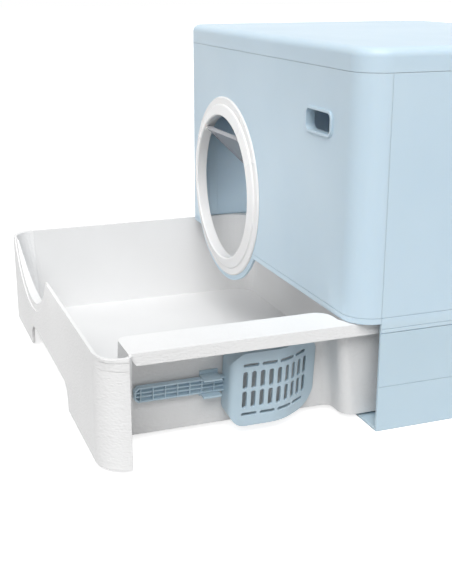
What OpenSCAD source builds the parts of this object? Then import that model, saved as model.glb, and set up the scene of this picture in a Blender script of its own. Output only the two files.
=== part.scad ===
// Drawer litter box: a tray-shaped base, a litter drawer that pulls out of its
// front, a panelled hood with a round entry and a swing flap, a lift-off lid,
// and a litter scoop that clips into a niche in the drawer's side.
// The origin is the middle of the base's footprint, on the ground. X is the
// width, -Y the front, +Z up. The drawer stands pulled out.

/* [Body] */
// Width over the side walls
body_w = 530; // [500:5:600]
// Depth of the base, from the front edges of its side walls to its back
base_d = 344; // [320:2:420]
// Radius of the upright corners, and how far the nose stands ahead of the base
corner_r = 31; // [26:1:36]
// Height of the base's side walls above the ground
base_h = 110; // [95:1:140]
// Height of the rim on the base that the hood laps over
lap_h = 10; // [8:0.5:14]
// Height of the shadow gap between the base and the hood's sides
shadow_gap = 0.8; // [0.4:0.1:6]
// Height above the shadow gap of the lower crease round the hood's sides
band_h = 4; // [3:0.5:8]
// Height of the hood's front panel at its middle
hood_h = 253; // [230:1:300]
// Height of the lid above the hood
lid_h = 24; // [18:1:40]
// Radius of the lid's top edge
lid_edge_r = 9; // [4:1:12]

/* [Walls and gaps] */
// Wall of the base
base_wall = 3; // [2.6:0.1:4]
// Floor of the base
base_floor = 3; // [2.4:0.1:4]
// Wall of the hood's panels and of the lid
panel_t = 3; // [2.6:0.1:4]
// Wall of the drawer
pan_wall = 3; // [2.4:0.1:3.6]
// Thickness of the drawer's front skirt
skirt_t = 3.5; // [3:0.1:5]
// Gap at a seam between two panels
seam = 0.2; // [0.1:0.1:1]
// Gap where one part rests or slides on another
slip = 0.3; // [0.2:0.05:0.5]
// Gap between the drawer's rim and what it passes
rim_gap = 1; // [0.8:0.1:2]

/* [Base] */
// Height of the crease along the base's sides
crease_z = 50; // [30:1:70]
// Depth and height of a crease
crease = 0.5; // [0.3:0.1:1]
// Diameter of a rubber foot
foot_d = 22; // [16:1:30]
// Thickness of a foot, set flush into the base
foot_t = 1.4; // [1:0.1:1.8]
// Distance of a foot's centre from the base's edges
foot_inset = 34; // [24:1:60]

/* [Drawer] */
// How far the drawer stands pulled out
drawer_out = 266; // [0:1:280]
// Gap between the skirt's bottom edge and the ground
skirt_z = 3.3; // [2:0.1:6]
// Thickness of the drawer's floor
pan_floor = 3; // [2.4:0.1:4]
// Height of the runners under the drawer
runner_h = 2.7; // [1:0.1:4]
// Width of a runner
runner_w = 6; // [4:0.5:10]
// Gap behind the drawer's rim when it is closed
back_gap = 5.4; // [3:0.1:10]
// How far the far wall leans out from floor to rim
far_lean = 22; // [10:1:26]
// How far the front wall leans out
front_lean = 17.5; // [10:0.5:20]
// How far the rear wall leans out
rear_lean = 12; // [6:1:20]
// How far the wall beside the niche leans out
niche_lean = 12.7; // [8:0.1:20]
// How far the wall at the niche's rear end leans out
niche_end_lean = 16; // [10:1:26]
// Gap between the deck's edge and the base's side wall
deck_gap = 8.5; // [6:0.5:12]
// Width of the deck over the niche
deck_w = 49.3; // [44:0.1:56]
// Length of the niche
niche_l = 231.5; // [228:0.5:240]
// Drop of the lip along the deck's edge
lip_h = 13.4; // [8:0.2:18]
// Thickness of the lip
lip_t = 2.5; // [2:0.1:3.5]
// Width of the rim behind the niche
rim_w = 14.5; // [10:0.5:18]
// Width of the grip opening in the skirt
grip_w = 226; // [160:2:260]
// Place of its middle, left of the drawer's middle
grip_left = 8; // [0:1:20]
// Height of the grip opening above the ground
grip_z = 33; // [26:1:40]
// Corner radius of the grip opening
grip_r = 22; // [10:1:26]

/* [Entry] */
// Distance of the entry's centre from the hood's left side
entry_inset = 155; // [150:1:170]
// Height of the entry's centre above the front panel's lower edge
entry_up = 73.6; // [70:0.2:90]
// Radius of the entry hole
entry_r = 94.5; // [85:0.5:96]
// Width of the ring's raised face
ring_face_w = 14.5; // [12:0.5:18]
// Width of the ring's outer flange
ring_flange_w = 9.5; // [5:0.5:10]
// How far the flange stands proud of the panel
ring_flange_t = 2.8; // [2:0.1:5]
// How far the ring's inner edge stands proud of the panel
ring_proud = 7.7; // [7:0.1:10]
// Wall of the ring's sleeve
sleeve_t = 3; // [2:0.1:4]
// How far the panel's round tongue reaches past the ring
tongue_w = 6.5; // [5:0.5:12]
// Gap between the tongue and the notch in the drawer
notch_gap = 3; // [1.5:0.1:4]
// Width of the step round the notch
notch_step_w = 9; // [4:0.5:12]
// Depth of the step round the notch
notch_step = 1.6; // [0.5:0.1:2]

/* [Flap] */
// Height of the hinge above the entry's centre
hinge_up = 70.4; // [66:0.2:74]
// How far the flap stands swung inwards
flap_open = 46; // [0:1:75]
// Thickness of the flap
flap_t = 2.4; // [1.8:0.1:3]
// Gap between the flap's edge and the entry ring
flap_gap = 4; // [3:0.5:8]
// Half of the flap's width
flap_half_w = 62; // [58:0.5:66]
// Width of the raised border round the flap
flap_border = 3; // [2:0.5:6]
// Radius of the hinge rod
rod_r = 1.25; // [1:0.05:1.6]
// Radial running gap round the hinge rod
rod_gap = 0.05; // [0.02:0.01:0.1]
// Thickness of the square bar along the flap's top, which holds the rod
bar_t = 5.2; // [4.6:0.1:6]
// Length of an ear of the ring, from its inner edge inwards
ear_l = 5; // [4:0.5:8]

/* [Window] */
// Distance of the window's centre from the hood's right side
window_inset = 96; // [80:1:110]
// Height of the window's centre above the front panel's lower edge
window_up = 196.8; // [170:1:210]
// Width of the window's frame
window_w = 64; // [50:1:80]
// Height of the window's frame
window_h = 28.6; // [24:0.2:40]
// Corner radius of the frame
window_r = 9; // [5:0.5:12]
// Width of the frame's rim
window_rim = 3.3; // [2.5:0.1:5]
// How far the frame stands proud of the panel
window_proud = 2; // [1:0.2:3]
// How far the frame reaches behind the panel's face
window_deep = 9; // [6:0.5:14]

/* [Scoop] */
// Height of the scoop's middle line on the niche's wall
scoop_z = 56.5; // [54:0.5:60]
// Place of the handle's end behind the base's front edge, with the drawer closed
scoop_y = 17.5; // [12:0.5:18]
// Gap between the scoop and the niche's wall
scoop_gap = 2; // [1:0.5:4]
// Width of the basket
basket_w = 86; // [76:1:88]
// Length of the basket
basket_l = 108; // [104:1:110]
// Depth of the basket
basket_deep = 27; // [24:1:30]
// Length of the basket's flat part, up to the bend
basket_flat = 45; // [40:1:48]
// Radius of the bend
bend_r = 56; // [50:1:60]
// Angle of the bend
bend_a = 30; // [26:1:32]
// Length of the handle
handle_l = 97; // [90:1:99]
// Width of the handle
handle_w = 16.8; // [15:0.2:20]
// Depth of the handle
handle_t = 6.5; // [5.5:0.5:8]
// Wall of the scoop
scoop_t = 2.2; // [1.8:0.1:3]
// Width of a slot in the basket
slot_w = 5.2; // [4:0.1:6]
// Distance from one slot to the next, along the basket's face
slot_pitch = 9.75; // [9:0.05:10]
// Distance from one rib of the handle to the next
rib_pitch = 13.2; // [10:0.2:16]
// Thickness of a rib
rib_t = 1.2; // [0.8:0.1:2]
// Length of the clip's arms, from the niche's wall
clip_deep = 16.5; // [12:0.5:20]
// Length of the clip along the handle
clip_l = 20; // [14:1:24]

/* [Hidden] */

// Colours
pale_blue = "#b7cddb";
soft_white = "#eeeeed";
smoke = "#8f979b";
rubber_grey = "#5a5f63";
steel = "#b9bcbf";

// Fineness: above 12 sides a circle is a true circle
fine = 64;
bend_steps = 8;
eps = 0.01;

// Main planes
half_w = body_w / 2;
y_front = -base_d / 2;
y_back = base_d / 2;
y_nose = y_front - corner_r;
rim_z = base_h + lap_h;
side_z = base_h + shadow_gap;
nose_z = rim_z + rim_gap;
hood_top = nose_z + hood_h;
lid_z = hood_top + slip;
entry_z = nose_z + entry_up;
lap_t = base_wall / 2;

// Drawer, with y counted from the base's front edge when it is closed
runner_z = base_floor + slip;
pan_z = runner_z + runner_h;
pan_top = pan_z + pan_floor;
rim_x = half_w - base_wall - rim_gap;
rim_back = base_d - base_wall - back_gap;
rim_front = -corner_r + skirt_t + 0.4;
rim_side = half_w - skirt_t - 0.4;
deck_edge = half_w - base_wall - deck_gap;
deck_x = deck_edge - deck_w;
notch_r = entry_r + ring_face_w + ring_flange_w + tongue_w + notch_gap;

// Scoop, with its open side towards the niche's wall
basket_y = scoop_y + handle_l;
niche_tilt = atan(niche_lean / (rim_z - pan_z));
bend_l = bend_r * bend_a * PI / 180;

// Entry and window, from the middle of the front
entry_x = half_w - entry_inset;
window_x = half_w - window_inset;

// Hinge of the flap, measured from the front panel's face
hinge_y = -2.5;
hinge_half = sqrt(entry_r * entry_r - hinge_up * hinge_up);
ear_r = bar_t / 2 + 0.6;

// ---------------------------------------------------------------- outlines

// Unit direction from a to b, and the normal on its right
function way(a, b) = [b.x - a.x, b.y - a.y] / norm([b.x - a.x, b.y - a.y]);
function right_of(d) = [d.y, -d.x];

// The arc that rounds corner p, which lies between a and b, to radius p.z
function arc_at(a, p, b) =
    let (u = way(p, a), v = way(p, b),
         half = acos(u * v) / 2,
         centre = [p.x, p.y] + (u + v) / norm(u + v) * p.z / sin(half),
         from = [p.x, p.y] + u * p.z / tan(half) - centre,
         turn = (cross(u, v) < 0 ? 1 : -1) * (180 - 2 * half))
    [for (i = [0 : bend_steps])
        let (t = turn * i / bend_steps)
        centre + [from.x * cos(t) - from.y * sin(t), from.x * sin(t) + from.y * cos(t)]];

// A closed outline with every corner [x, y, radius] rounded
function rounded(c) =
    let (n = len(c))
    [for (i = [0 : n - 1]) each arc_at(c[(i + n - 1) % n], c[i], c[(i + 1) % n])];

// The same corners, moved outwards by t
function grown(c, t) =
    let (n = len(c))
    [for (i = [0 : n - 1])
        let (p = c[i], d = way(c[(i + n - 1) % n], p), e = way(p, c[(i + 1) % n]),
             k = (right_of(d) + right_of(e)) / (1 + right_of(d) * right_of(e)))
        [p.x + t * k.x, p.y + t * k.y, max(0.5, p.z + (cross(d, e) > 0 ? t : -t))]];

// A solid that runs straight from outline a at za to outline b at zb, carried
// on past b by the share hi of its height. Both ends are cut into pieces, each
// a list of points that can all be seen from its first one
module loft(a, za, b, zb, pieces, hi = 0) {
    n = len(a);
    function at(s) = [for (i = [0 : n - 1])
        [a[i].x + (b[i].x - a[i].x) * s, a[i].y + (b[i].y - a[i].y) * s, za + (zb - za) * s]];
    polyhedron(
        points = concat(at(0), at(1 + hi)),
        faces = concat(
            pieces,
            [for (p = pieces) let (m = len(p)) [for (i = [0 : m - 1]) p[(m - i) % m] + n]],
            [for (i = [0 : n - 1]) [i, i + n, (i + 1) % n + n, (i + 1) % n]]));
}

// A rectangle from [x0, y0] to [x1, y1] with round corners
module round_rect(x0, y0, x1, y1, r) {
    translate([x0 + r, y0]) square([x1 - x0 - 2 * r, y1 - y0]);
    translate([x0, y0 + r]) square([x1 - x0, y1 - y0 - 2 * r]);
    for (x = [x0 + r, x1 - r], y = [y0 + r, y1 - r])
        translate([x, y]) circle(r, $fn = fine);
}

// A round-ended slot, l long and w wide over all, along X
module slot(l, w) {
    square([l - w, w], center = true);
    for (s = [-1, 1])
        translate([s * (l - w) / 2, 0]) circle(w / 2, $fn = 24);
}

// The body's plan, moved inwards by t
module body_plan(t = 0) {
    round_rect(-half_w + t, y_nose + t, half_w - t, y_back - t, corner_r - t);
}

// A band of the body's wall, from t0 to t1 inside its face
module wall_plan(t0, t1) {
    difference() {
        body_plan(t0);
        body_plan(t1);
    }
}

// The part of a plan with y from y0 to y1 and x from x0 to x1
module plan_part(y0, y1, x0 = -half_w - 1, x1 = half_w + 1) {
    intersection() {
        children();
        translate([x0, y0]) square([x1 - x0, y1 - y0]);
    }
}

// Raises a shape drawn in X and Z, with its back at y
module upright(y, t) {
    translate([0, y, 0]) rotate([90, 0, 0]) linear_extrude(t) children();
}

// ---------------------------------------------------------------- base

// Tray of the base: floor, side walls, back wall and the rim the hood laps over
module base_tray() color(pale_blue) {
    difference() {
        union() {
            linear_extrude(base_floor) plan_part(y_front, y_back + 1) body_plan();
            linear_extrude(base_h) plan_part(y_front, y_back + 1) wall_plan(0, base_wall);
            translate([0, 0, base_h - eps]) linear_extrude(lap_h + eps)
                plan_part(y_front, y_back + 1) wall_plan(lap_t, base_wall);
        }
        translate([0, 0, crease_z]) linear_extrude(crease)
            plan_part(y_front - 1, y_back + 1) wall_plan(-1, crease);
        for (x = [-1, 1], y = [-1, 1])
            at_foot(x, y) translate([0, 0, -eps])
                cylinder(h = foot_t + eps, d = foot_d + 2 * slip, $fn = fine);
    }
}

// The place of a foot, with x -1 on the left and 1 on the right, and y -1 in front and 1 at the back
module at_foot(x, y)
    translate([x * (half_w - foot_inset), y * (base_d / 2 - foot_inset), 0]) children();

// Rubber foot, set flush into a round pocket under the base
module foot(x, y) color(rubber_grey) at_foot(x, y) cylinder(h = foot_t, d = foot_d, $fn = fine);

module foot_front_left() foot(-1, -1);
module foot_front_right() foot(1, -1);
module foot_back_left() foot(-1, 1);
module foot_back_right() foot(1, 1);

// ---------------------------------------------------------------- drawer

// Puts a part of the drawer where the drawer stands
module at_drawer() translate([0, y_front - drawer_out, 0]) children();

// Corners of the litter pan's inside at the rim, from the front left, anticlockwise
pan_rim = [
    [-rim_x + pan_wall + 2, rim_front, corner_r - skirt_t - 1],
    [rim_side - 0.5, rim_front, corner_r - skirt_t - 6],
    [rim_side - 0.5, -4, 1],
    [rim_side - 5, 1, 1.5],
    [deck_x, 1, 11],
    [deck_x, niche_l, 18],
    [deck_edge - rim_w, niche_l + 1, 7],
    [deck_edge - rim_w, rim_back - 6, 45],
    [-rim_x + pan_wall + 2, rim_back - 6, 45],
];

// The same corners at the pan's floor
pan_foot = [
    [-rim_x + pan_wall + far_lean, rim_front + front_lean, 22],
    [rim_side - 9.5, rim_front + front_lean, 1.2],
    [rim_side - 9.5, -5, 0.8],
    [rim_side - 13, -1, 1.2],
    [deck_x - niche_lean, -1, 9],
    [deck_x - niche_lean, niche_l + niche_end_lean, 12],
    [deck_edge - rim_w - niche_lean, niche_l + niche_end_lean + 1, 11],
    [deck_edge - rim_w - niche_lean, rim_back - 6 - rear_lean, 34],
    [-rim_x + pan_wall + far_lean, rim_back - 6 - rear_lean, 34],
];

// Pieces of the pan's outline: one up to the niche's rear end, and one behind it
pan_pieces = let (s = bend_steps + 1) [
    [for (i = [s - 1 : 5 * s]) i],
    concat([for (i = [8 * s : 9 * s - 1]) i], [for (i = [0 : s - 1]) i], [for (i = [5 * s : 8 * s - 1]) i]),
];

// Plan of the rim and the deck over the niche, behind the skirt
module deck_plan(t = 0) {
    plan_part(-0.8 - eps, rim_back)
        round_rect(-rim_x + t, -corner_r, deck_edge - t, rim_back - t, corner_r - t);
}

// Plan of the skirt and its round columns, t inside its face
module skirt_plan(t = 0) {
    plan_part(-corner_r, -0.8)
        round_rect(-half_w + t, -corner_r + t, half_w - t, corner_r + 10, corner_r - t);
}

// Circle round the hood's tongue, wider than it by t
module notch_disc(y, depth, t = 0)
    translate([-entry_x, y, entry_z]) rotate([-90, 0, 0])
        cylinder(h = depth, r = notch_r + t, $fn = 128);

// Crease round a column at height z; it fades out towards the front
module column_crease(z) for (s = [0, 1])
    mirror([s, 0, 0]) translate([half_w - corner_r, 0, z]) linear_extrude(crease) difference() {
        translate([3, -corner_r - 1]) square([corner_r, corner_r + 1]);
        translate([-crease, 0]) circle(corner_r, $fn = fine);
    }

// Drawer: litter pan, full-width front skirt with round columns, deck and niche
module drawer_pan() color(soft_white) at_drawer() {
    difference() {
        union() {
            loft(rounded(grown(pan_foot, pan_wall)), pan_z, rounded(grown(pan_rim, pan_wall)), rim_z,
                 pan_pieces, hi = -0.01);
            // Skirt and columns
            translate([0, 0, skirt_z]) linear_extrude(rim_z - skirt_z) difference() {
                skirt_plan();
                skirt_plan(skirt_t);
            }
            // Collar from the skirt to the pan, under the notch
            intersection() {
                notch_disc(-corner_r + 1, 22, pan_wall);
                translate([-half_w, -corner_r, 0]) cube([half_w, corner_r, rim_z - 1]);
            }
            // Rim, deck and the lip round them
            translate([0, 0, rim_z - pan_wall]) linear_extrude(pan_wall) {
                skirt_plan();
                deck_plan();
            }
            translate([0, 0, rim_z - lip_h]) linear_extrude(lip_h) difference() {
                deck_plan();
                deck_plan(lip_t);
            }
            // Runners
            for (x = [-1, 1])
                translate([x * 150 - runner_w / 2, 20, runner_z])
                    cube([runner_w, rim_back - 60, runner_h + eps]);
        }
        loft(rounded(pan_foot), pan_top, rounded(pan_rim), rim_z, pan_pieces, hi = 0.02);
        // Notch round the hood's tongue, and the step round it
        notch_disc(-corner_r - 1, 24);
        notch_disc(-corner_r - 1, 1 + notch_step, notch_step_w);
        column_crease(rim_z - 5);
        column_crease(rim_z - lip_h);
        // Grip opening
        translate([0, -corner_r + skirt_t + eps, 0]) rotate([90, 0, 0])
            linear_extrude(skirt_t + 1)
                round_rect(-grip_left - grip_w / 2, -grip_r - 1, -grip_left + grip_w / 2, grip_z, grip_r);
        // Slanted front end of the lip
        translate([deck_edge - lip_t - eps, 0, rim_z - lip_h]) rotate([90, 0, 90])
            linear_extrude(lip_t + 1)
                polygon([[-2, -1], [9.3, -1], [1.5, lip_h - pan_wall], [-2, lip_h - pan_wall]]);
    }
}

// Face of the niche's wall at height z
function wall_x(z) = deck_x + pan_wall - niche_lean * (rim_z - z) / (rim_z - pan_z);

// Puts a shape on the niche's wall: X along the drawer, Y up the wall, Z out from it
module on_niche_wall() at_drawer()
    translate([wall_x(scoop_z), 0, scoop_z]) rotate([0, niche_tilt, 0]) rotate([90, 0, 90]) children();

// Clip on the niche's wall, with two arms that grip the scoop's handle
module scoop_clip() color(pale_blue) on_niche_wall() {
    arm_t = 2;
    inner = handle_w / 2 + slip;
    outer = inner + arm_t;
    translate([basket_y - clip_l - 5, 0, 0]) {
        translate([0, -outer - 4, 0]) cube([clip_l, 2 * outer + 8, 1.5]);
        for (s = [0, 1]) mirror([0, s, 0]) {
            translate([0, inner, 0]) cube([clip_l, arm_t, clip_deep]);
            translate([0, inner - 0.25, scoop_gap + handle_t + slip]) cube([clip_l, 1, 1.5]);
        }
    }
}

// ---------------------------------------------------------------- scoop

// Place along the basket of a point that lies s along its bent face
function along(s) =
    s < basket_flat ? s
    : s < basket_flat + bend_l ? basket_flat + bend_r * sin(bend_a * (s - basket_flat) / bend_l)
    : basket_flat + bend_r * sin(bend_a) + (s - basket_flat - bend_l) * cos(bend_a);

// Depth of the basket's face there
function face_z(s) =
    s < basket_flat ? basket_deep
    : s < basket_flat + bend_l ? basket_deep - bend_r * (1 - cos(bend_a * (s - basket_flat) / bend_l))
    : basket_deep - bend_r * (1 - cos(bend_a)) - (s - basket_flat - bend_l) * sin(bend_a);

// Profile of the basket in length and depth, t inside its outer face
module basket_profile(t) {
    edge_r = 8;
    end_s = basket_flat + bend_l + (basket_l + 2 - along(basket_flat + bend_l)) / cos(bend_a);
    polygon(concat(
        [[-1 + t, -2], [-1 + t, basket_deep - edge_r]],
        [for (a = [180 : -15 : 90])
            [edge_r + (edge_r - t) * cos(a), basket_deep - edge_r + (edge_r - t) * sin(a)]],
        [for (i = [0 : 6])
            let (s = basket_flat + bend_l * i / 6, a = bend_a * i / 6)
            [along(s) - t * sin(a), face_z(s) - t * cos(a)]],
        [[along(end_s) - t * sin(bend_a), face_z(end_s) - t * cos(bend_a)], [along(end_s), -2]]));
}

// Outline of the basket in length and width, t inside its outer face
module basket_outline(t) {
    w = basket_w / 2 - t;
    near_r = 18;
    far_r = 26;
    intersection() {
        round_rect(t, -w, basket_l + 2 * far_r, w, near_r - t);
        round_rect(-2 * near_r, -w, basket_l - t, w, far_r - t);
    }
}

// The basket's solid form, t inside its outer face
module basket_form(t) {
    intersection() {
        linear_extrude(basket_deep + 1) basket_outline(t);
        translate([0, basket_w, 0]) rotate([90, 0, 0]) linear_extrude(2 * basket_w) basket_profile(t);
    }
}

// Slots in the basket's face: nine pairs across it and a row along each side
module basket_slots() {
    for (i = [0 : 8], s = [-1, 1])
        translate([along(15.5 + i * slot_pitch), s * 11.4])
            rotate(90) slot(20, i < 5 ? slot_w : slot_w * cos(bend_a));
    for (i = [0 : 3], s = [-1, 1])
        translate([along(21.5 + i * 20.9), s * 28.8]) slot(i < 3 ? 17.4 : 14.5, slot_w * 0.75);
}

// Handle's outline, t inside its edge, with its end corners cut off
module handle_outline(t) {
    cut = 4;
    w = handle_w / 2 - t;
    polygon([[cut + t / 2, -w], [handle_l + scoop_t, -w], [handle_l + scoop_t, w], [cut + t / 2, w],
             [t, w - cut + t / 2], [t, -w + cut - t / 2]]);
}

// Scoop: slotted basket and ribbed handle in one moulding
module litter_scoop() color(pale_blue) on_niche_wall() translate([0, 0, scoop_gap]) {
    rib_gap = 2 * (handle_w / 2 - 1.6) / 3;
    translate([basket_y, 0, 0]) difference() {
        basket_form(0);
        translate([0, 0, -1]) basket_form(scoop_t);
        translate([0, 0, 1]) linear_extrude(basket_deep) basket_slots();
    }
    translate([scoop_y, 0, 0]) difference() {
        linear_extrude(handle_t) handle_outline(0);
        difference() {
            translate([0, 0, scoop_t]) linear_extrude(handle_t)
                intersection() {
                    handle_outline(1.6);
                    translate([0, -handle_w]) square([handle_l, 2 * handle_w]);
                }
            for (x = [6.8 : rib_pitch : handle_l - 3])
                translate([x - rib_t / 2, -handle_w / 2, 0]) cube([rib_t, handle_w, handle_t - 0.2]);
            for (s = [-1, 1])
                translate([0, s * rib_gap / 2 - rib_t / 2, 0]) cube([handle_l, rib_t, handle_t - 0.8]);
        }
    }
}

// ---------------------------------------------------------------- hood

// Creases round the hood: one above its front edge, and one on the sides alone
module hood_creases() {
    translate([0, 0, nose_z + 6]) linear_extrude(crease) wall_plan(-1, crease);
    translate([0, 0, side_z + band_h]) linear_extrude(crease)
        plan_part(y_front, y_back + 2) wall_plan(-1, crease);
}

// Strip inside a panel from y0 to its edge y1, and on to y2 behind the next panel
module panel_lap(y0, y1, y2) {
    translate([0, 0, nose_z]) linear_extrude(hood_h - 8) {
        plan_part(min(y0, y1), max(y0, y1)) wall_plan(panel_t - eps, panel_t + 2);
        plan_part(min(y0, y2), max(y0, y2)) wall_plan(panel_t + 0.2, panel_t + 2);
    }
}

// Front panel: flat face, round corners and the tongue under the entry
module hood_front() color(pale_blue) {
    tongue_r = notch_r - notch_gap;
    difference() {
        union() {
            translate([0, 0, nose_z]) linear_extrude(hood_h)
                plan_part(y_nose - 1, y_front) wall_plan(0, panel_t);
            // Inner lap behind the side panels
            panel_lap(y_front - 6, y_front, y_front + 12);
            translate([-entry_x, y_nose, entry_z]) rotate([-90, 0, 0])
                cylinder(h = panel_t, r = tongue_r, $fn = 128);
        }
        hood_creases();
        translate([-entry_x, y_nose - 1, entry_z]) rotate([-90, 0, 0])
            cylinder(h = panel_t + 2, r = entry_r + sleeve_t + slip, $fn = 128);
        upright(y_nose + panel_t + 1, panel_t + 2) window_outline(1.2);
        // Crease along the tongue's edge, below the panel
        translate([-entry_x, y_nose - 1, entry_z]) rotate([-90, 0, 0]) linear_extrude(crease + 1) difference() {
            circle(tongue_r - 2.5, $fn = 128);
            circle(tongue_r - 2.5 - crease, $fn = 128);
            translate([-tongue_r, -tongue_r]) square([2 * tongue_r, tongue_r + entry_up]);
        }
    }
}

// Side panel on the right; the left one is its mirror image
module side_panel() {
    difference() {
        translate([0, 0, side_z]) linear_extrude(hood_top - side_z)
            plan_part(y_front + seam, y_back - corner_r - seam, 0) wall_plan(0, panel_t);
        hood_creases();
        // Rabbet over the base's rim
        translate([0, 0, side_z - 1]) linear_extrude(rim_z + slip - side_z + 1)
            wall_plan(lap_t - slip, panel_t + 1);
    }
}

module hood_right_side() color(pale_blue) side_panel();

module hood_left_side() color(pale_blue) mirror([1, 0, 0]) side_panel();

// Back panel with its round corners
module hood_back() color(pale_blue) {
    difference() {
        union() {
            translate([0, 0, side_z]) linear_extrude(hood_top - side_z)
                plan_part(y_back - corner_r, y_back + 1) wall_plan(0, panel_t);
            panel_lap(y_back - corner_r + 6, y_back - corner_r, y_back - corner_r - 12);
        }
        hood_creases();
        translate([0, 0, side_z - 1]) linear_extrude(rim_z + slip - side_z + 1)
            wall_plan(lap_t - slip, panel_t + 3);
    }
}

// Entry ring: sleeve through the panel, raised face and stepped flange
module entry_ring() color("white") translate([-entry_x, y_nose, entry_z]) {
    face_r = entry_r + ring_face_w;
    flange_r = face_r + ring_flange_w;
    sleeve_end = panel_t + 3.2;
    difference() {
        union() {
            rotate([90, 0, 0]) rotate_extrude($fn = 128) polygon([
                [entry_r, -sleeve_end], [entry_r, ring_proud - 1.5], [entry_r + 0.5, ring_proud - 0.5],
                [entry_r + 1.8, ring_proud], [face_r - 2.4, ring_flange_t + 2.2],
                [face_r - 0.8, ring_flange_t + 1.5], [face_r, ring_flange_t],
                [flange_r - 1.5, ring_flange_t - 0.4], [flange_r, ring_flange_t - 1.8],
                [flange_r, slip / 2], [entry_r + sleeve_t, slip / 2], [entry_r + sleeve_t, -sleeve_end]]);
            // Ears that carry the hinge rod
            intersection() {
                for (s = [-1, 1])
                    translate([s * (hinge_half - ear_l), hinge_y, hinge_up]) rotate([0, s * 90, 0])
                        cylinder(h = ear_l + 8, r = ear_r, $fn = fine);
                translate([0, sleeve_end, 0]) rotate([90, 0, 0])
                    cylinder(h = sleeve_end + ring_proud, r = entry_r + 1.5, $fn = 128);
            }
            // Snap hooks behind the panel
            for (a = [15 : 60 : 345])
                rotate([0, -a, 0]) translate([entry_r + 1, panel_t + slip, -6])
                    cube([sleeve_t + 1.2, 2.4, 12]);
        }
        translate([-hinge_half - 1.5, hinge_y, hinge_up]) rotate([0, 90, 0])
            cylinder(h = 2 * hinge_half + 3, r = rod_r + rod_gap, $fn = fine);
    }
}

// Outline of the window's frame, t inside its edge
module window_outline(t) {
    round_rect(window_x - window_w / 2 + t, nose_z + window_up - window_h / 2 + t,
               window_x + window_w / 2 - t, nose_z + window_up + window_h / 2 - t, window_r - t);
}

// Frame that lines the window, with a step along its outer edge
module window_frame() color(pale_blue) {
    step = 0.7;
    upright(y_nose, window_proud - step) difference() {
        window_outline(0);
        window_outline(window_rim);
    }
    upright(y_nose - window_proud + step + eps, step) difference() {
        window_outline(step);
        window_outline(window_rim);
    }
    upright(y_nose + window_deep, window_deep + eps) difference() {
        window_outline(1.2 + slip);
        window_outline(window_rim);
    }
}

// ---------------------------------------------------------------- flap

// Puts a part of the flap on its hinge, swung inwards
module at_hinge() translate([-entry_x, y_nose + hinge_y, entry_z + hinge_up])
    rotate([flap_open, 0, 0]) children();

// Outline of the flap as it hangs, t inside its edge
module flap_outline(t = 0) {
    half_bar = hinge_half - ear_l - slip - t;
    half_flap = flap_half_w - t;
    below_ears = -ear_r - slip;
    shoulder = -10;
    intersection() {
        translate([0, -hinge_up]) circle(entry_r - flap_gap - t, $fn = 128);
        polygon([[-half_bar, -t], [half_bar, -t], [half_bar, below_ears], [half_flap, shoulder],
                 [half_flap, -2 * entry_r], [-half_flap, -2 * entry_r], [-half_flap, shoulder],
                 [-half_bar, below_ears]]);
    }
}

// Flap: clear plate with a raised border and a square bar for the rod
module flap_panel() color(smoke) at_hinge() {
    bar_l = 2 * (hinge_half - ear_l - slip);
    difference() {
        union() {
            translate([0, flap_t / 2, 0]) rotate([90, 0, 0]) linear_extrude(flap_t) flap_outline();
            translate([0, flap_t / 2 + 0.6, 0]) rotate([90, 0, 0]) linear_extrude(flap_t + 1.2)
                difference() {
                    flap_outline();
                    flap_outline(flap_border);
                }
            translate([-bar_l / 2, -bar_t / 2, -bar_t / 2]) cube([bar_l, bar_t, bar_t]);
        }
        translate([-bar_l, 0, 0]) rotate([0, 90, 0])
            cylinder(h = 2 * bar_l, r = rod_r + rod_gap, $fn = fine);
    }
}

// Steel rod through the bar and both ears
module flap_rod() color(steel) at_hinge() {
    translate([-hinge_half - 0.5, 0, 0]) rotate([0, 90, 0])
        cylinder(h = 2 * hinge_half + 1, r = rod_r, $fn = fine);
}

// ---------------------------------------------------------------- lid

// Half profile of the lid out to its edge, r wide and h high
module lid_edge(r, h, edge_r) {
    square([r, h - edge_r]);
    square([r - edge_r, h]);
    translate([r - edge_r, h - edge_r]) intersection() {
        circle(edge_r, $fn = fine);
        square(edge_r + 1);
    }
}

// Solid form of the lid, t inside its face: a middle block, four edges and four corners
module lid_form(t) {
    r = corner_r - t;
    h = lid_h - t;
    w = body_w - 2 * corner_r;
    d = base_d - corner_r;
    translate([0, -corner_r / 2, lid_z]) {
        translate([-w / 2, -d / 2, 0]) cube([w, d, h]);
        for (s = [0, 180]) rotate(s) {
            translate([w / 2, d / 2, 0]) rotate([90, 0, 0]) linear_extrude(d) lid_edge(r, h, lid_edge_r - t);
            translate([-w / 2, d / 2, 0]) rotate([90, 0, 90]) linear_extrude(w) lid_edge(r, h, lid_edge_r - t);
            translate([w / 2, d / 2, 0]) rotate_extrude(angle = 90, $fn = fine) lid_edge(r, h, lid_edge_r - t);
            translate([-w / 2, d / 2, 0]) rotate(90) rotate_extrude(angle = 90, $fn = fine)
                lid_edge(r, h, lid_edge_r - t);
        }
    }
}

// Lid: shallow cap with a rounded top edge and a skirt inside the hood
module hood_lid() color(pale_blue) {
    difference() {
        lid_form(0);
        translate([0, 0, -0.001]) lid_form(panel_t);
    }
    translate([0, 0, lid_z + 1]) linear_extrude(4) wall_plan(panel_t - 0.5, 2 * panel_t);
    translate([0, 0, lid_z - 6]) linear_extrude(8) wall_plan(panel_t + slip, 2 * panel_t);
}

base_tray();
foot_front_left();
foot_front_right();
foot_back_left();
foot_back_right();
drawer_pan();
scoop_clip();
litter_scoop();
hood_front();
hood_right_side();
hood_left_side();
hood_back();
entry_ring();
window_frame();
flap_panel();
flap_rod();
hood_lid();
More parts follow.
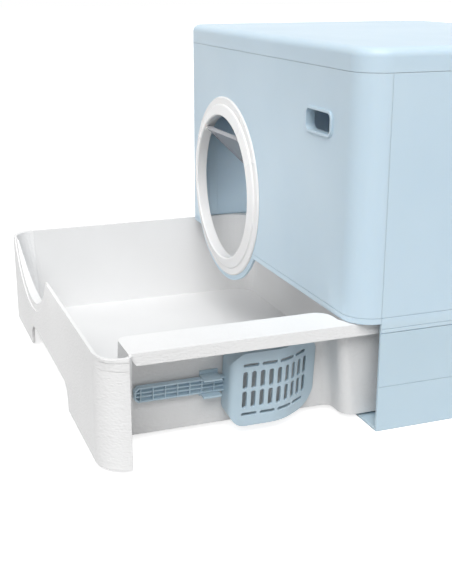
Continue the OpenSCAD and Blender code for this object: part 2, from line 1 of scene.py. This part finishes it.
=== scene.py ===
import bpy
import math
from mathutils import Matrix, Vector


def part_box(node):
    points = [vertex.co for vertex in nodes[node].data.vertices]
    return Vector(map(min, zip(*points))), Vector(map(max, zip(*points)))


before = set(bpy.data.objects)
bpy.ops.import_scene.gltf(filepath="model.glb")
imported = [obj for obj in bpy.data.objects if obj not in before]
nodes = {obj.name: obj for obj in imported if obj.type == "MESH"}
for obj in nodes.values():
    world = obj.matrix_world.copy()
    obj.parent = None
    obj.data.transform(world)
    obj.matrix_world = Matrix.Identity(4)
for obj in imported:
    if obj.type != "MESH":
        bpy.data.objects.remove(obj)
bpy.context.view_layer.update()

# ---------------------------------------------------------------- studio
# A white sweep that keeps the shadow, lit to plain white for camera, gloss and
# glass, under an even sky and one broad, high sun. One small lamp lights the
# cabin's left wall, and another, over the pan, fills the hood's front.

FLOOR_SIZE = 30
FLOOR_DROP = 0.0005
SWEEP_ALBEDO = 0.50
SWEEP_GLOW = 0.80
SKY = 0.355
SUN = 3.12
SUN_SPREAD = 50
SUN_FROM = (0.51, -0.25, 0.82)
LAMPS = {
    "cabin_lamp": {"watts": 0.065, "at": (-0.10, -0.09, 0.17), "aim": (-0.26, -0.07, 0.11),
                   "wide": 0.09, "spread": 110},
    "front_lamp": {"watts": 0.055, "at": (0.0, -0.50, 0.28), "aim": (0.04, -0.20, 0.13),
                   "wide": 0.30, "spread": 90},
}
CAMERA_AT = (1.1043, -0.6555, 0.4611)
LENS_MM = 60.8
SENSOR_MM = 36
CAMERA_REACH = 50
TURN, DIP = math.radians(69.54), math.radians(17.71)


def add_node(tree, kind, inputs=None, **settings):
    """Adds a node; each input is a number, a colour, or the socket that feeds it."""
    node = tree.nodes.new(kind)
    for name, value in settings.items():
        setattr(node, name, value)
    for name, value in (inputs or {}).items():
        if isinstance(value, bpy.types.NodeSocket):
            tree.links.new(value, node.inputs[name])
        else:
            node.inputs[name].default_value = value
    return node


def background_rays(tree):
    """1 for the rays that see the background: from the camera, off gloss and through glass."""
    rays = add_node(tree, "ShaderNodeLightPath")
    seen = add_node(tree, "ShaderNodeMath",
                    {0: rays.outputs["Is Camera Ray"], 1: rays.outputs["Is Glossy Ray"]}, operation="MAXIMUM")
    seen = add_node(tree, "ShaderNodeMath",
                    {0: seen.outputs["Value"], 1: rays.outputs["Is Transmission Ray"]}, operation="MAXIMUM")
    return seen.outputs["Value"]


camera = bpy.data.objects.new("camera", bpy.data.cameras.new("camera"))
bpy.context.scene.collection.objects.link(camera)
camera.data.lens = LENS_MM
camera.data.sensor_width = SENSOR_MM
camera.location = CAMERA_AT
look = Vector((-math.sin(TURN) * math.cos(DIP), math.cos(TURN) * math.cos(DIP), -math.sin(DIP)))
camera.rotation_euler = look.to_track_quat("-Z", "Y").to_euler()
camera.data.clip_end = CAMERA_REACH
bpy.context.scene.camera = camera

bpy.ops.object.select_all(action="DESELECT")
bpy.ops.mesh.primitive_plane_add(size=FLOOR_SIZE, location=(0, 0, -FLOOR_DROP))
floor = bpy.context.object
floor.name = "floor"
sweep = bpy.data.materials.new("painted_sweep")
sweep.use_nodes = True
tree = sweep.node_tree
tree.nodes.clear()
paint = add_node(tree, "ShaderNodeBsdfDiffuse", {"Color": (SWEEP_ALBEDO, SWEEP_ALBEDO, SWEEP_ALBEDO, 1)})
glow = add_node(tree, "ShaderNodeMath", {0: background_rays(tree), 1: SWEEP_GLOW}, operation="MULTIPLY")
lift = add_node(tree, "ShaderNodeEmission", {"Color": (1, 1, 1, 1), "Strength": glow.outputs["Value"]})
both = add_node(tree, "ShaderNodeAddShader", {0: paint.outputs["BSDF"], 1: lift.outputs["Emission"]})
add_node(tree, "ShaderNodeOutputMaterial", {"Surface": both.outputs["Shader"]})
floor.data.materials.append(sweep)

world = bpy.data.worlds.new("daylight")
bpy.context.scene.world = world
world.use_nodes = True
tree = world.node_tree
tree.nodes.clear()
level = add_node(tree, "ShaderNodeMapRange", {"Value": background_rays(tree), "To Min": SKY, "To Max": 1.0})
sky = add_node(tree, "ShaderNodeBackground", {"Color": (1, 1, 1, 1), "Strength": level.outputs["Result"]})
add_node(tree, "ShaderNodeOutputWorld", {"Surface": sky.outputs["Background"]})

sun = bpy.data.objects.new("sun", bpy.data.lights.new("sun", "SUN"))
bpy.context.scene.collection.objects.link(sun)
sun.data.energy = SUN
sun.data.angle = math.radians(SUN_SPREAD)
sun.rotation_euler = (-Vector(SUN_FROM)).to_track_quat("-Z", "Y").to_euler()

for name, setup in LAMPS.items():
    lamp = bpy.data.objects.new(name, bpy.data.lights.new(name, "AREA"))
    bpy.context.scene.collection.objects.link(lamp)
    lamp.data.shape = "DISK"
    lamp.data.size = setup["wide"]
    lamp.data.energy = setup["watts"]
    lamp.data.spread = math.radians(setup["spread"])
    lamp.location = setup["at"]
    lamp.rotation_euler = (Vector(setup["aim"]) - Vector(setup["at"])).to_track_quat("-Z", "Y").to_euler()
    lamp.visible_camera = False
    lamp.visible_glossy = False

bpy.context.scene.view_settings.view_transform = "Standard"

# ---------------------------------------------------------------- base
# The base is a tray of pale blue polypropylene, injection moulded in a polished
# tool: satin, a little cloudy where the melt flowed, and thin enough for some
# light to pass. Its sharp edges are broken by the tool's small radius.

POLYPROPYLENE_IOR = 1.49
FLOW_MM = 110
EDGE_RADIUS_MM = 0.8
EDGE_SAMPLES = 6
SATIN_SWING = 0.05
GLOW_REACH = 0.004
GLOW_TINT = (0.6, 0.8, 1.0)


def srgb(code, alpha=1.0):
    """An sRGB hex value as the linear colour that a socket takes."""
    parts = [int(code[i:i + 2], 16) / 255 for i in (1, 3, 5)]
    return tuple(p / 12.92 if p <= 0.04045 else ((p + 0.055) / 1.055) ** 2.4 for p in parts) + (alpha,)


def moulded_plastic(name, code, dark_code, roughness, grain_mm, grain_height_mm, glow=0.0):
    """Moulded plastic between two tones, with a fine grain and soft edges."""
    mat = bpy.data.materials.new(name)
    mat.use_nodes = True
    tree = mat.node_tree
    tree.nodes.clear()
    place = add_node(tree, "ShaderNodeTexCoord")
    flow = add_node(tree, "ShaderNodeTexNoise",
                    {"Vector": place.outputs["Object"], "Scale": 1000 / FLOW_MM,
                     "Detail": 3.0, "Roughness": 0.45})
    spread = add_node(tree, "ShaderNodeMapRange",
                      {"Value": flow.outputs["Fac"], "From Min": 0.3, "From Max": 0.7})
    tone = add_node(tree, "ShaderNodeMix", {"Factor": spread.outputs["Result"]}, data_type="RGBA")
    tone.inputs[6].default_value = srgb(dark_code)
    tone.inputs[7].default_value = srgb(code)
    satin = add_node(tree, "ShaderNodeMapRange",
                     {"Value": flow.outputs["Fac"], "To Min": roughness + SATIN_SWING,
                      "To Max": roughness - SATIN_SWING})
    grain = add_node(tree, "ShaderNodeTexNoise",
                     {"Vector": place.outputs["Object"], "Scale": 1000 / grain_mm, "Detail": 2.0})
    edge = add_node(tree, "ShaderNodeBevel", {"Radius": EDGE_RADIUS_MM / 1000}, samples=EDGE_SAMPLES)
    bump = add_node(tree, "ShaderNodeBump",
                    {"Height": grain.outputs["Fac"], "Distance": grain_height_mm / 1000, "Strength": 1.0,
                     "Normal": edge.outputs["Normal"]})
    skin = add_node(tree, "ShaderNodeBsdfPrincipled",
                    {"Base Color": tone.outputs[2], "Normal": bump.outputs["Normal"],
                     "Roughness": satin.outputs["Result"], "IOR": POLYPROPYLENE_IOR,
                     "Subsurface Weight": glow, "Subsurface Radius": GLOW_TINT,
                     "Subsurface Scale": GLOW_REACH})
    add_node(tree, "ShaderNodeOutputMaterial", {"Surface": skin.outputs["BSDF"]})
    return mat


def finish(material, *names):
    """Gives CAD nodes their material."""
    for name in names:
        nodes[name].data.materials.clear()
        nodes[name].data.materials.append(material)


base_blue = moulded_plastic("moulded_polypropylene_blue", "#bfd3df", "#bbd0dc", 0.44, 1.4, 0.02, 0.2)
finish(base_blue, "base_tray")

# ---------------------------------------------------------------- feet
# Four soft rubber discs, pressed flush into round pockets under the base: dull
# and dark grey, with the fine pitting of a compression mould.

rubber = moulded_plastic("moulded_rubber_grey", "#5a5f63", "#53585c", 0.8, 0.9, 0.05)
finish(rubber, "foot_front_left", "foot_front_right", "foot_back_left", "foot_back_right")

# ---------------------------------------------------------------- drawer
# One white polypropylene moulding. Outside the pan it carries a leather grain,
# etched into the tool and drawn coarser and deeper than it is, so that it shows.
# The pan itself is smooth so that it wipes clean, and its colour is painted a shade greyer: painted shade for
# the dimmer light inside it.

LEATHER_MM = 3.4
LEATHER_SCALE_UP = 1.8
CREASE_MM = LEATHER_MM / 0.7
LEATHER_DEPTH_MM = 0.64
SKIRT_DEPTH = 0.031
SKIRT_BACK_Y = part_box("drawer_pan")[0][1] + SKIRT_DEPTH
PAN_X = 0.190
# Painted shade: a grey that darkens the whole inside of the pan.
PAN_PAINTED_SHADE = "#f3f3f3"

white = moulded_plastic("grained_polypropylene_white", "#e9e9e9", "#e5e5e5", 0.46, 1.6, 0.015, 0.0)
tree = white.node_tree
place = add_node(tree, "ShaderNodeTexCoord")
spot = add_node(tree, "ShaderNodeSeparateXYZ", {"Vector": place.outputs["Object"]})
behind_skirt = add_node(tree, "ShaderNodeMath", {0: spot.outputs["Y"], 1: SKIRT_BACK_Y},
                        operation="GREATER_THAN")
beside_niche = add_node(tree, "ShaderNodeMath", {0: spot.outputs["X"], 1: PAN_X}, operation="LESS_THAN")
in_pan = add_node(tree, "ShaderNodeMath",
                  {0: behind_skirt.outputs["Value"], 1: beside_niche.outputs["Value"]}, operation="MULTIPLY")
outside = add_node(tree, "ShaderNodeMath", {0: 1.0, 1: in_pan.outputs["Value"]}, operation="SUBTRACT")
along_floor = add_node(tree, "ShaderNodeMapping",
                       {"Vector": place.outputs["Object"], "Scale": (1, 1, LEATHER_SCALE_UP)})
cells = add_node(tree, "ShaderNodeTexVoronoi",
                 {"Vector": along_floor.outputs["Vector"], "Scale": 1000 / LEATHER_MM, "Randomness": 1.0},
                 feature="SMOOTH_F1")
creases = add_node(tree, "ShaderNodeTexNoise",
                   {"Vector": along_floor.outputs["Vector"], "Scale": 1000 / CREASE_MM, "Detail": 4.0})
hide = add_node(tree, "ShaderNodeMath", {0: cells.outputs["Distance"], 1: creases.outputs["Fac"]},
                operation="MULTIPLY")
height = add_node(tree, "ShaderNodeMath", {0: hide.outputs["Value"], 1: outside.outputs["Value"]},
                  operation="MULTIPLY")
skin = next(n for n in tree.nodes if n.type == "BSDF_PRINCIPLED")
# Painted shade: the colour inside the pan is multiplied by a grey, so that it renders darker.
pan_painted_shade = add_node(tree, "ShaderNodeMix", {"Factor": in_pan.outputs["Value"]},
                  data_type="RGBA", blend_type="MULTIPLY")
tree.links.new(skin.inputs["Base Color"].links[0].from_socket, pan_painted_shade.inputs[6])
pan_painted_shade.inputs[7].default_value = srgb(PAN_PAINTED_SHADE)
tree.links.new(pan_painted_shade.outputs[2], skin.inputs["Base Color"])
fine_grain = skin.inputs["Normal"].links[0].from_socket
leather = add_node(tree, "ShaderNodeBump",
                   {"Height": height.outputs["Value"], "Distance": LEATHER_DEPTH_MM / 1000, "Strength": 1.0,
                    "Normal": fine_grain})
tree.links.new(leather.outputs["Normal"], skin.inputs["Normal"])
finish(white, "drawer_pan")

# ---------------------------------------------------------------- scoop and clip
# The scoop and the clip that holds it come from one blue tool: the same polypropylene as the base, a shade
# greyer.

scoop_blue = moulded_plastic("moulded_polypropylene_scoop", "#bdd1dd", "#b7ccd8", 0.42, 1.2, 0.02, 0.1)
finish(scoop_blue, "litter_scoop", "scoop_clip")

# ---------------------------------------------------------------- hood
# Four panels that snap together, and the frame that lines the window: flat
# mouldings of blue polypropylene with a satin face.

hood_blue = moulded_plastic("moulded_polypropylene_hood", "#c7dbe8", "#c2d7e5", 0.40, 1.4, 0.02, 0.2)
finish(hood_blue, "hood_front", "hood_right_side", "hood_left_side", "hood_back", "window_frame")

# ---------------------------------------------------------------- entry ring
# The ring round the entry is white ABS from a polished tool, so it is the
# glossiest face on the box, with soft highlights along its steps.

ring_white = moulded_plastic("polished_abs_white", "#efefef", "#ececec", 0.26, 2.0, 0.004, 0.1)
finish(ring_white, "entry_ring")

# ---------------------------------------------------------------- flap
# The flap is smoked polycarbonate, cast thin enough to show the cabin behind it
# dimly, with the faint streaks of the flow from its gate at the top.

POLYCARBONATE_IOR = 1.58
STREAK_MM = 6
STREAK_SCALE_ALONG = 0.12
RIPPLE_MM = 0.1
SMOKE_DENSITY = 0.82

smoke = bpy.data.materials.new("smoked_polycarbonate")
smoke.use_nodes = True
tree = smoke.node_tree
tree.nodes.clear()
place = add_node(tree, "ShaderNodeTexCoord")
along_flow = add_node(tree, "ShaderNodeMapping",
                      {"Vector": place.outputs["Object"],
                       "Scale": (1, STREAK_SCALE_ALONG, STREAK_SCALE_ALONG)})
streaks = add_node(tree, "ShaderNodeTexNoise",
                   {"Vector": along_flow.outputs["Vector"], "Scale": 1000 / STREAK_MM, "Detail": 3.0})
tone = add_node(tree, "ShaderNodeMix", {"Factor": streaks.outputs["Fac"]}, data_type="RGBA")
tone.inputs[6].default_value = srgb("#a8abb1")
tone.inputs[7].default_value = srgb("#b6b9bf")
edge = add_node(tree, "ShaderNodeBevel", {"Radius": EDGE_RADIUS_MM / 1000}, samples=EDGE_SAMPLES)
ripple = add_node(tree, "ShaderNodeBump",
                  {"Height": streaks.outputs["Fac"], "Distance": RIPPLE_MM / 1000, "Strength": 1.0,
                   "Normal": edge.outputs["Normal"]})
skin = add_node(tree, "ShaderNodeBsdfPrincipled",
                {"Base Color": tone.outputs[2], "Roughness": 0.22, "IOR": POLYCARBONATE_IOR,
                 "Alpha": SMOKE_DENSITY, "Normal": ripple.outputs["Normal"]})
add_node(tree, "ShaderNodeOutputMaterial", {"Surface": skin.outputs["BSDF"]})
finish(smoke, "flap_panel")

# ---------------------------------------------------------------- hinge rod
# A length of drawn steel wire, with fine lines along it from the die.

DIE_LINE_MM = 0.4
DIE_LINE_SCALE_ALONG = 0.02

steel = bpy.data.materials.new("drawn_steel")
steel.use_nodes = True
tree = steel.node_tree
tree.nodes.clear()
place = add_node(tree, "ShaderNodeTexCoord")
along_rod = add_node(tree, "ShaderNodeMapping",
                     {"Vector": place.outputs["Object"], "Scale": (DIE_LINE_SCALE_ALONG, 1, 1)})
lines = add_node(tree, "ShaderNodeTexNoise",
                 {"Vector": along_rod.outputs["Vector"], "Scale": 1000 / DIE_LINE_MM})
drawn = add_node(tree, "ShaderNodeMapRange", {"Value": lines.outputs["Fac"], "To Min": 0.22, "To Max": 0.42})
skin = add_node(tree, "ShaderNodeBsdfPrincipled",
                {"Base Color": srgb("#b9bcbf"), "Roughness": drawn.outputs["Result"], "Metallic": 1.0})
add_node(tree, "ShaderNodeOutputMaterial", {"Surface": skin.outputs["BSDF"]})
finish(steel, "flap_rod")

# ---------------------------------------------------------------- lid
# The lid lifts off the hood: the same blue polypropylene, with a wide soft
# radius along its top edge.

finish(hood_blue, "hood_lid")
